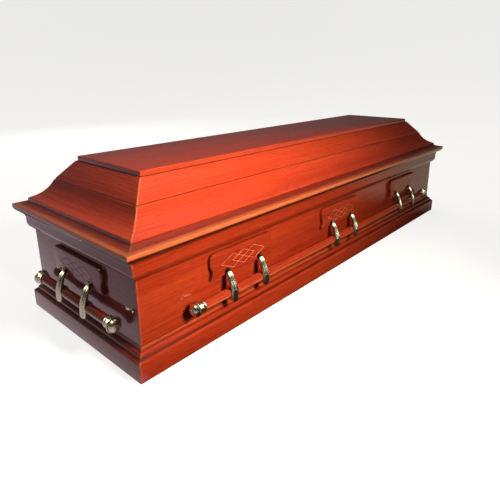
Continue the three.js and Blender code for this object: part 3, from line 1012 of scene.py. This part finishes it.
class COFFIN_OT_box(Operator):
    """Boards, plinth and rim of the box, as four mitred lengths of each section"""

    bl_idname = "coffin.box"
    bl_label = "Build the box"

    def execute(self, context):
        moulding_piece("box_boards", board_section(), "{side}_board", "box", 0.0)
        moulding_piece("box_plinth", plinth_section(), "{side}_plinth", "box", 11.0)
        moulding_piece("box_rim", rim_section(), "{side}_rim", "box", 23.0)
        return {"FINISHED"}


class COFFIN_OT_lid(Operator):
    """Cornice, sloping boards and top board of the lid"""

    bl_idname = "coffin.lid"
    bl_label = "Build the lid"

    def execute(self, context):
        moulding_piece("lid_cornice", cornice_section(), "lid_{side}_cornice", "lid", 37.0)
        moulding_piece("lid_slopes", slope_section(), "lid_{side}_slope", "lid", 41.0)
        top = lid_points()[4]
        half_x = sizes().body_length / 2 / MM + top[0] - TOP_LEDGE
        half_y = sizes().body_width / 2 / MM + top[0] - TOP_LEDGE
        high = top[1] + TOP_BOARD
        levels = [(1, top[1] + GAP), (0, top[1] + GAP + 1)]
        for step in range(9):
            angle = step * math.pi / 16
            levels.append((TOP_ROUND * (1 - math.cos(angle)), high - TOP_ROUND * (1 - math.sin(angle))))
        rings = []
        for inset, height in levels:
            radius = TOP_CORNER - inset * 0.6
            ring = []
            for quarter, (sx, sy) in enumerate([(1, 1), (-1, 1), (-1, -1), (1, -1)]):
                for step in range(7):
                    angle = quarter * math.pi / 2 + step * math.pi / 12
                    x = sx * (half_x - inset - radius) + radius * math.cos(angle)
                    y = sy * (half_y - inset - radius) + radius * math.sin(angle)
                    ring.append((x * MM, y * MM, height * MM))
            rings.append(ring)
        board = new_object("lid_top_panel", tidy_mesh(loft("lid_top_panel", rings)))
        store_grain(board.data, 53.0)
        board.data.materials.append(finish("lid"))
        hand_over(board, ["lid_top_board"])
        return {"FINISHED"}


class COFFIN_OT_plaques(Operator):
    """Eight plaques with waisted sides and three overlapping diamonds cut in the face"""

    bl_idname = "coffin.plaques"
    bl_label = "Build the plaques"

    def execute(self, context):
        width, height = sizes().plaque_width / MM, sizes().plaque_height / MM
        thick = sizes().plaque_thickness / MM
        rings = [self.outline(width, height, 0, GAP)]
        for step in range(9):
            angle = step * math.pi / 16
            inset, rise = PLAQUE_EDGE * (1 - math.cos(angle)), 0.6 + 0.4 * math.sin(angle)
            rings.append(self.outline(width, height, inset, thick * rise))
        cutters = self.diamond_cuts(thick)
        mesh = cut_or_join("plaque", loft("plaque", rings), [("DIFFERENCE", cutters)])
        cut = []
        for polygon in mesh.polygons:
            x, out, high = polygon.center.x / MM, -polygon.center.y / MM, polygon.center.z / MM
            cut.append(
                thick - CUT_DEPTH - 0.1 < out < thick - 0.02 and abs(x) < DIAMOND_PITCH * 2 + 12
                and abs(high - PLAQUE_BOTTOM - DIAMOND_MIDDLE) < DIAMOND_HALF_HEIGHT + 3
            )
        attribute(mesh, "second", "BOOLEAN", "FACE", cut)
        store_grain(mesh)
        values = {"Station pitch": station_pitch()}
        fitting_piece(
            "plaques", mesh, 3, "single", values, numbered("plaque", 3, 1), ["box", "cut"]
        )
        return {"FINISHED"}

    def outline(self, width, height, inset, out):
        """The edge of a plaque, drawn in by the inset and standing out by the given distance."""
        half, bottom = width / 2 - inset, PLAQUE_BOTTOM + inset
        radius = PLAQUE_CORNER - inset / 2
        centre = PLAQUE_BOTTOM + height - inset - radius
        shares = [0.06 + 0.04 * i for i in range(17)]

        def side_points(side, shares):
            points = []
            for share in shares:
                waist = PLAQUE_WAIST * math.exp(-(((share - WAIST_PLACE) / WAIST_SPREAD) ** 2))
                points.append((side * (half - waist), bottom + share * (height - 2 * inset)))
            return points

        ring = []
        for side, start in ((-1, math.pi), (1, 1.5 * math.pi)):
            for step in range(4):
                angle = start + step * math.pi / 6
                x = side * (half - 1.6) + PLAQUE_FOOT_ROUND * math.cos(angle)
                ring.append((x, bottom + PLAQUE_FOOT_ROUND * (1 + math.sin(angle))))
        ring += side_points(1, shares)
        for side, start in ((1, 0), (-1, math.pi / 2)):
            for step in range(11):
                angle = start + step * math.pi / 20
                x = side * (half - radius) + radius * math.cos(angle)
                ring.append((x, centre + radius * math.sin(angle)))
        ring += side_points(-1, reversed(shares))
        return [(x * MM, -out * MM, z * MM) for x, z in ring]

    def diamond_cuts(self, thick):
        """V-shaped prisms along the sides of the three diamonds."""
        points, faces = [], []
        middle = PLAQUE_BOTTOM + DIAMOND_MIDDLE
        for number in (-1, 0, 1):
            tips = [
                Vector((number * DIAMOND_PITCH + dx * DIAMOND_PITCH, middle + dz * DIAMOND_HALF_HEIGHT))
                for dx, dz in ((-1, 0), (0, 1), (1, 0), (0, -1))
            ]
            for i, start in enumerate(tips):
                end = tips[(i + 1) % 4]
                along = (end - start).normalized()
                # The cutter stands half a depth proud of the face, so it is half as wide again there
                across = Vector((-along.y, along.x)) * (CUT_WIDTH / 2) * 1.5
                foot = len(points)
                for spot in (start - along * 0.8, end + along * 0.8):
                    for side, depth in ((-1, -0.5), (1, -0.5), (0, 1)):
                        x, z = spot + across * side
                        points.append((x * MM, -(thick - CUT_DEPTH * depth) * MM, z * MM))
                a, b, c, d, e, f = range(foot, foot + 6)
                faces += [(a, b, c), (f, e, d), (a, d, e, b), (b, e, f, c), (c, f, d, a)]
        return tidy_mesh(mesh_of("diamond_cuts", points, faces))


class COFFIN_OT_arms(Operator):
    """Sixteen cast arms: a round head, a neck that bows outward and a fluted leaf with its eye"""

    bl_idname = "coffin.arms"
    bl_label = "Build the arms"

    def execute(self, context):
        thick, bar_radius = sizes().plaque_thickness / MM, sizes().bar_radius / MM
        head_height = PLAQUE_BOTTOM + ARM_HEAD_RISE
        eye = bar_radius + GAP + EYE_WALL
        foot, face = thick + GAP, thick + ARM_HEAD
        rings = self.leaf_rings(face, BAR_OUT + eye, head_height)
        head = turned(
            "arm_head",
            [(foot, 0), (foot, ARM_HEAD_RADIUS - 0.5), (foot + 0.6, ARM_HEAD_RADIUS),
             *[(face - HEAD_ROUND + HEAD_ROUND * math.sin(a),
                ARM_HEAD_RADIUS - HEAD_ROUND + HEAD_ROUND * math.cos(a))
               for a in (i * math.pi / 12 for i in range(6))],
             (face + 0.4, 3), (face + 0.5, 0)],
            40, "out",
        )
        head.transform(Matrix.Translation((0, 0, head_height * MM)))
        ring_half = EYE_WIDTH / 2
        ring = turned(
            "arm_eye",
            [(-ring_half, 0), (-ring_half, eye - 1.2), (0.4 - ring_half, eye - 0.35),
             (1.2 - ring_half, eye), (ring_half - 1.2, eye), (ring_half - 0.4, eye - 0.35),
             (ring_half, eye - 1.2), (ring_half, 0)],
            56,
        )
        # The bore's cutter clears both faces of the eye
        through = EYE_WIDTH + 2
        hole = turned(
            "arm_bore", [(-through, 0), (-through, EYE_BORE), (through, EYE_BORE), (through, 0)], 56
        )
        centre = Matrix.Translation((0, -BAR_OUT * MM, BAR_HEIGHT * MM))
        for part in (ring, hole):
            part.transform(centre)
        leaf = tidy_mesh(loft("arm", rings))
        mesh = cut_or_join("arm", leaf, [
            ("UNION", tidy_mesh(head)), ("UNION", tidy_mesh(ring)), ("DIFFERENCE", tidy_mesh(hole)),
        ])
        # Painted shade and a painted dark reflection on the head's rim and the inner side of the neck
        self.tone(mesh, head_height, face)
        store_grain(mesh)
        spacing = sizes().arm_spacing
        values = {
            "Station pitch": station_pitch(), "Spread on long sides": spacing, "Spread on ends": spacing,
        }
        fitting_piece(
            "handle_arms", mesh, 3, "pair", values, numbered("arm", 6, 2), ["brass"]
        )
        return {"FINISHED"}

    def leaf_rings(self, face, leaf_face, head_height):
        """Rings along a smooth curve through the stations of the arm."""
        steps = 6 * (len(ARM_STATIONS) - 1)
        spine = [self.on_curve(i / steps) for i in range(steps + 1)]
        # Half a section: share of the half width, then how far behind the front, as a share of
        # the flute's depth and of the thickness
        half = [
            (0, 0, 0), (0.1, 0.06, 0), (0.2, 0.4, 0), (0.32, 0.92, 0.02), (0.44, 1.0, 0.02),
            (0.56, 0.7, 0.02), (0.68, 0.45, 0.02), (0.8, 0.55, 0.05), (0.91, 0.8, 0.13),
            (0.98, 0.9, 0.26), (1.0, 0.6, 0.38), (0.95, 0, 0.52), (0.9, 0, 0.64), (0.9, 0, 0.76),
            (0.86, 0, 0.9), (0.76, 0, 0.98), (0.5, 0, 1.0),
        ]
        section = half + [(-x, a, b) for x, a, b in reversed(half[1:])]
        span_out, span_down = leaf_face - face, BAR_HEIGHT - head_height
        rings = []
        for i, (out, down, width, thickness) in enumerate(spine):
            ahead, behind = spine[min(i + 1, steps)], spine[max(i - 1, 0)]
            tangent = Vector((
                (ahead[0] - behind[0]) * span_out, (ahead[1] - behind[1]) * span_down
            )).normalized()
            spot = Vector((face + out * span_out, head_height + down * span_down))
            ring = []
            for across, flute, share in section:
                back = flute * width * ARM_FLUTE + share * thickness * ARM_THICKNESS
                ring.append((
                    across * width * ARM_WIDTH / 2 * MM,
                    -(spot.x + tangent.y * back) * MM,
                    (spot.y - tangent.x * back) * MM,
                ))
            rings.append(ring)
        return rings

    def on_curve(self, share):
        """The values at a share of the way through the stations, on a smooth curve through them."""
        last = len(ARM_STATIONS) - 1
        place = min(share * last, last - 1e-6)
        i = int(place)
        t = place - i
        picks = [ARM_STATIONS[min(max(i + k, 0), last)] for k in (-1, 0, 1, 2)]
        values = []
        for a, b, c, d in zip(*picks):
            out, back = (c - a) / 2, (d - b) / 2
            values.append(
                (2 * b - 2 * c + out + back) * t ** 3 + (3 * c - 3 * b - 2 * out - back) * t ** 2
                + out * t + b
            )
        return values

    def tone(self, mesh, head_height, face):
        """Paints the arm darker: a painted reflection of a dark surround on the rim of the head, and
        painted shade on the inner side of the neck.
        """
        values = []
        for vertex in mesh.vertices:
            x, out, z = vertex.co.x / MM, -vertex.co.y / MM, vertex.co.z / MM
            away = math.hypot(x, z - head_height)
            rim = max(0.0, min(1.0, (away - 4.5) / 3)) if out < face + 1.5 and away < 12 else 0.0
            behind = 0.35 if out < BAR_OUT + 6 and z < head_height - 14 else 0.0
            values.append(max(rim * 0.75, behind))
        attribute(mesh, "toned", "FLOAT", "POINT", values)


class COFFIN_OT_bars(Operator):
    """Wooden handle bars, each a row of segments with rounded shoulders beside the arms"""

    bl_idname = "coffin.bars"
    bl_label = "Build the bars"

    def execute(self, context):
        pitch, spacing = station_pitch() / MM, sizes().arm_spacing / MM
        points, faces, grain = [], [], []
        for number, (side, turn) in enumerate(SIDES.items()):
            is_long = side in LONG_SIDES
            centres = [-pitch, 0, pitch] if is_long else [0]
            reach = (sizes().body_width if is_long else sizes().body_length) / 2
            arms = [c + s * spacing / 2 for c in centres for s in (-1, 1)]
            bar = turned("bar", self.profile(arms), 48)
            place = (
                Matrix.Rotation(turn, 4, "Z")
                @ Matrix.Translation((0, -reach - BAR_OUT * MM, BAR_HEIGHT * MM))
            )
            first = len(points)
            for vertex in bar.vertices:
                points.append(tuple(place @ vertex.co))
                grain += [vertex.co.x + 5.3 * number, vertex.co.y + 1.9 * number, vertex.co.z]
            faces += [tuple(first + i for i in polygon.vertices) for polygon in bar.polygons]
        mesh = mesh_of("handle_bars_wood", points, faces)
        attribute(mesh, "grain", "FLOAT_VECTOR", "POINT", grain, "vector")
        obj = new_object("handle_bars_wood", tidy_mesh(mesh))
        mesh.materials.append(finish("bar"))
        hand_over(obj, side_nodes("{side}_handle_bar"))
        return {"FINISHED"}

    def profile(self, arms):
        """(along, radius) in mm of a bar whose arms stand at the given places."""
        radius = sizes().bar_radius / MM
        end = arms[-1] + BAR_OVERHANG + CAP_COLLAR - 2 * GAP
        shoulder = [
            (SHOULDER_FOOT + SHOULDER_ROUND * (1 - math.cos(a)),
             BAR_NECK_RADIUS + (radius - BAR_NECK_RADIUS) * math.sin(a))
            for a in (i * math.pi / 20 for i in range(11))
        ]
        made = [(-end, 0), (-end, radius - 0.4), (-end + 0.4, radius)]
        for arm in arms:
            made += [(arm - x, r) for x, r in reversed(shoulder)] + [(arm + x, r) for x, r in shoulder]
        made += [(end - 0.4, radius), (end, radius - 0.4), (end, 0)]
        return made


class COFFIN_OT_caps(Operator):
    """Eight turned caps on the ends of the bars"""

    bl_idname = "coffin.caps"
    bl_label = "Build the caps"

    def execute(self, context):
        bore = sizes().bar_radius / MM + GAP
        collar = bore + CAP_WALL
        flange = CAP_COLLAR + CAP_FLANGE
        # From the end of the bar out through the bore, over the beaded collar and the rolled flange
        profile = [
            (CAP_COLLAR - GAP, 0), (CAP_COLLAR - GAP, bore), (0.4, bore), (0, bore + 0.5),
            (0, collar - 0.7),
            (0.2, collar - 0.2), (0.7, collar), (5.4, collar), (6, collar - 0.3), (6.5, collar - 1),
            (7.5, collar - 1), (8, collar - 0.3), (8.6, collar), (18.5, collar), (20.5, collar + 0.3),
            (22.2, collar + 1.2), (23.4, collar + 2.7), (24.2, CAP_FLANGE_RADIUS - 0.9),
            (24.9, CAP_FLANGE_RADIUS - 0.2), (25.6, CAP_FLANGE_RADIUS), (27, CAP_FLANGE_RADIUS),
            (27.8, CAP_FLANGE_RADIUS - 0.3), (28.3, CAP_FLANGE_RADIUS - 1),
            (28.4, CAP_FLANGE_RADIUS - 2), (28.2, CAP_DOME_RADIUS + 0.7),
            (flange - 0.6, CAP_DOME_RADIUS + 0.1),
        ]
        sweep = math.acos(CAP_BUTTON_RADIUS / CAP_DOME_RADIUS)
        for step in range(1, 13):
            angle = sweep * step / 12
            profile.append(
                (flange + CAP_DOME * math.sin(angle) / math.sin(sweep), CAP_DOME_RADIUS * math.cos(angle))
            )
        top = flange + CAP_DOME
        end = top + CAP_BUTTON
        profile += [
            (top - 0.1, CAP_BUTTON_RADIUS - 0.5), (top + 0.6, CAP_BUTTON_RADIUS - 0.7),
            (top + 1.4, CAP_BUTTON_RADIUS - 0.1), (top + 2.2, CAP_BUTTON_RADIUS),
            (top + 2.8, CAP_BUTTON_RADIUS - 0.5), (end, CAP_BUTTON_RADIUS - 1.4), (end - 0.3, 4.5),
            (end - 0.4, 0),
        ]
        mesh = turned("cap", profile, 56)
        # Toned darker in the collar's groove and bore, behind the flange's roll and round the button
        toned = []
        for vertex in mesh.vertices:
            along, radius = vertex.co.x / MM, math.hypot(vertex.co.y, vertex.co.z) / MM
            hollow = 0.6 if 6.2 < along < 7.8 or (along < 24 and radius < bore + 0.1) else 0.0
            hollow = 0.55 if 28.1 < along < 29.4 and radius < CAP_FLANGE_RADIUS - 1.5 else hollow
            hollow = 0.5 if top - 0.6 < along < top + 1 and radius < CAP_BUTTON_RADIUS + 0.3 else hollow
            toned.append(hollow)
        attribute(mesh, "toned", "FLOAT", "POINT", toned)
        store_grain(mesh)
        pitch, spacing = station_pitch(), sizes().arm_spacing
        values = {
            "Station pitch": 0.0,
            "Spread on long sides": 2 * (pitch + spacing / 2 + BAR_OVERHANG * MM),
            "Spread on ends": spacing + 2 * BAR_OVERHANG * MM,
            "Offset": (0, -BAR_OUT * MM, BAR_HEIGHT * MM),
        }
        nodes = side_nodes("{side}_bar_cap_right", "{side}_bar_cap_left")
        fitting_piece("bar_caps", mesh, 1, "ends", values, nodes, ["brass"])
        return {"FINISHED"}


class COFFIN_OT_bottom(Operator):
    """Bottom board of the box, which keeps its shape and gets the raw wood finish"""

    bl_idname = "coffin.bottom"
    bl_label = "Finish the bottom board"

    def execute(self, context):
        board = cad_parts["bottom_board"]
        board.data.materials.clear()
        board.data.materials.append(finish("raw"))
        return {"FINISHED"}


class COFFIN_OT_stage(Operator):
    """Pale floor and backdrop, soft lights, and the camera at the photograph's angle"""

    bl_idname = "coffin.stage"
    bl_label = "Set the stage"

    def execute(self, context):
        scene = context.scene
        curve = [i * math.pi / 20 for i in range(1, 11)]
        rings = [
            (FLOOR_RADIUS, 0.0),
            *[(FLOOR_RADIUS + SWEEP_ROUND * math.sin(a), SWEEP_ROUND - SWEEP_ROUND * math.cos(a))
              for a in curve],
            (FLOOR_RADIUS + SWEEP_ROUND, BACKDROP_HEIGHT),
        ]
        points = [(0, 0, 0)]
        sides = 64
        for radius, height in rings:
            for k in range(sides):
                angle = 2 * math.pi * k / sides
                points.append((radius * math.cos(angle), radius * math.sin(angle), height))
        faces = [(0, 1 + k, 1 + (k + 1) % sides) for k in range(sides)]
        for i in range(len(rings) - 1):
            for k in range(sides):
                a, b = 1 + i * sides + k, 1 + i * sides + (k + 1) % sides
                faces.append((a, a + sides, b + sides, b))
        floor = new_object("studio_sweep", mesh_of("studio_sweep", points, faces))
        floor.data.shade_smooth()
        floor.data.materials.append(finish("floor"))
        floor.visible_glossy = floor.visible_diffuse = False

        reach = FLOOR_RADIUS + SWEEP_ROUND
        corners = [(x * reach, y * reach, 0.0005) for x, y in ((-1, -1), (1, -1), (1, 1), (-1, 1))]
        card = new_object("reflection_floor", mesh_of("reflection_floor", corners, [(0, 1, 2, 3)]))
        card.data.materials.append(finish("card"))
        card.visible_camera = card.visible_diffuse = card.visible_shadow = card.visible_transmission = False
        self.studio_world(scene)
        scene.view_settings.view_transform = "Standard"

        self.light(
            "key_light", (-0.5, -1.8, 1.25), (-0.75, -0.3, 0.35), 0.5, 17, "#fff6ea",
            glossy=False, spread=90,
        )
        self.light("front_light", (1.2, -4.0, 2.6), (0.2, 0, 0.3), 1.6, 3.6, "#fff6ea", glossy=False)
        # Mirrored by the corners and arrises nearest the camera and lighting nothing else
        corner_light = self.light(
            "corner_light", (-2.3, -0.65, 3.1), (-0.98, -0.29, 0.45), 0.9, 60, "#ffe9d8"
        )
        corner_light.visible_diffuse = False
        self.light("end_light", (-4.2, 0.4, 1.8), (0, 0, 0.2), 2.5, 0.8, "#f4eeff", glossy=False)
        self.light("top_light", (0.3, 0.6, 4.6), (0, 0, 0), 3.5, 8, "#ffffff", glossy=False)
        self.light("back_light", (1.0, 4.5, 2.4), (0, 0, 0.3), 2.5, 45, "#ffffff", glossy=False)
        # Polished metal needs broad lights of its own, which would show as glare in the lacquer
        brass = bpy.data.collections.new("brass_pieces")
        for name in ("handle_arms", "bar_caps"):
            brass.objects.link(bpy.data.objects[name])
        for lamp in (
            self.light("brass_front_light", (1.0, -1.7, 1.7), (-0.2, -0.34, 0.18), 1.6, 45, "#fffdf4"),
            self.light("brass_low_light", (1.1, -2.1, 0.4), (-0.2, -0.34, 0.15), 0.5, 5, "#f2fff6"),
            self.light("brass_end_light", (-2.0, 1.95, 1.1), (-1.03, 0, 0.18), 1.2, 24, "#fffdf4"),
        ):
            lamp.light_linking.receiver_collection = brass

        data = bpy.data.cameras.new("photo_camera")
        data.sensor_width, data.lens = CAMERA_SENSOR, CAMERA_LENS
        data.shift_x, data.shift_y = CAMERA_SHIFT
        data.clip_start, data.clip_end = 0.05, 60
        camera = bpy.data.objects.new("photo_camera", data)
        scene.collection.objects.link(camera)
        camera.matrix_world = self.camera_place()
        scene.camera = camera
        return {"FINISHED"}

    def studio_world(self, scene):
        """What the gloss sees above the floor: dim sides, lighter behind, and a soft white ceiling."""
        world = bpy.data.worlds.new("Studio")
        world.use_nodes = True
        tree = world.node_tree
        tree.nodes.clear()
        way = node(
            tree, "ShaderNodeSeparateXYZ", {0: node(tree, "ShaderNodeTexCoord").outputs["Generated"]}
        )
        ramp = node(
            tree, "ShaderNodeValToRGB", {"Fac": way.outputs["Z"]},
            stops=[(0.0, linear("#2b2320")), (0.66, linear("#2f2622")), (0.86, linear("#a8a39b")),
                   (1.0, linear("#c4bfb8"))],
        )
        behind = node(
            tree, "ShaderNodeMapRange", {"Value": way.outputs["Y"], "From Min": 0.1, "From Max": 0.7}
        )
        lower = node(
            tree, "ShaderNodeMix", {"Factor": behind, 6: (0, 0, 0, 1), 7: (*linear("#4c494b"), 1)},
            data_type="RGBA",
        )
        whole = node(
            tree, "ShaderNodeMix", {"Factor": 1.0, 6: ramp, 7: lower.outputs[2]},
            data_type="RGBA", blend_type="ADD",
        )
        background = node(
            tree, "ShaderNodeBackground", {"Color": whole.outputs[2], "Strength": 1.0}
        )
        node(tree, "ShaderNodeOutputWorld", {"Surface": background})
        scene.world = world

    def light(self, name, place, target, size, power, code, glossy=True, spread=180):
        data = bpy.data.lights.new(name, "AREA")
        data.shape, data.size, data.energy, data.color = "DISK", size, power, linear(code)
        lamp = bpy.data.objects.new(name, data)
        bpy.context.scene.collection.objects.link(lamp)
        lamp.location = place
        lamp.rotation_euler = (Vector(target) - Vector(place)).to_track_quat("-Z", "Y").to_euler()
        data.spread = math.radians(spread)
        lamp.visible_camera, lamp.visible_glossy = False, glossy
        return lamp

    def camera_place(self):
        """Where the camera stands and how it is turned, as a matrix."""
        yaw, pitch, roll = CAMERA_TURN
        ahead = Vector((math.cos(pitch) * math.cos(yaw), math.cos(pitch) * math.sin(yaw), math.sin(pitch)))
        side = ahead.cross(Vector((0, 0, 1))).normalized()
        up = side.cross(ahead)
        right = side * math.cos(roll) + up * math.sin(roll)
        above = up * math.cos(roll) - side * math.sin(roll)
        turn = Matrix((right, above, -ahead)).transposed().to_4x4()
        return Matrix.Translation(CAMERA_PLACE) @ turn


BUILDERS = [
    COFFIN_OT_box, COFFIN_OT_lid, COFFIN_OT_plaques, COFFIN_OT_arms, COFFIN_OT_bars, COFFIN_OT_caps,
    COFFIN_OT_bottom, COFFIN_OT_stage,
]


class COFFIN_PT_panel(Panel):
    bl_label = "Wooden coffin"
    bl_idname = "COFFIN_PT_panel"
    bl_space_type = "VIEW_3D"
    bl_region_type = "UI"
    bl_category = "Coffin"

    def draw(self, context):
        for builder in BUILDERS:
            self.layout.operator(builder.bl_idname)
        for group in (context.scene.coffin_sizes, context.scene.coffin_colours):
            box = self.layout.box()
            for key in group.__annotations__:
                box.prop(group, key)


CLASSES = [CoffinSizes, CoffinColours, *BUILDERS, COFFIN_PT_panel]


def register():
    for cls in CLASSES:
        bpy.utils.register_class(cls)
    bpy.types.Scene.coffin_sizes = PointerProperty(type=CoffinSizes)
    bpy.types.Scene.coffin_colours = PointerProperty(type=CoffinColours)


def unregister():
    del bpy.types.Scene.coffin_colours
    del bpy.types.Scene.coffin_sizes
    for cls in reversed(CLASSES):
        bpy.utils.unregister_class(cls)


def main():
    register()
    for builder in BUILDERS:
        group, name = builder.bl_idname.split(".")
        getattr(getattr(bpy.ops, group), name)()


if __name__ == "__main__":
    main()
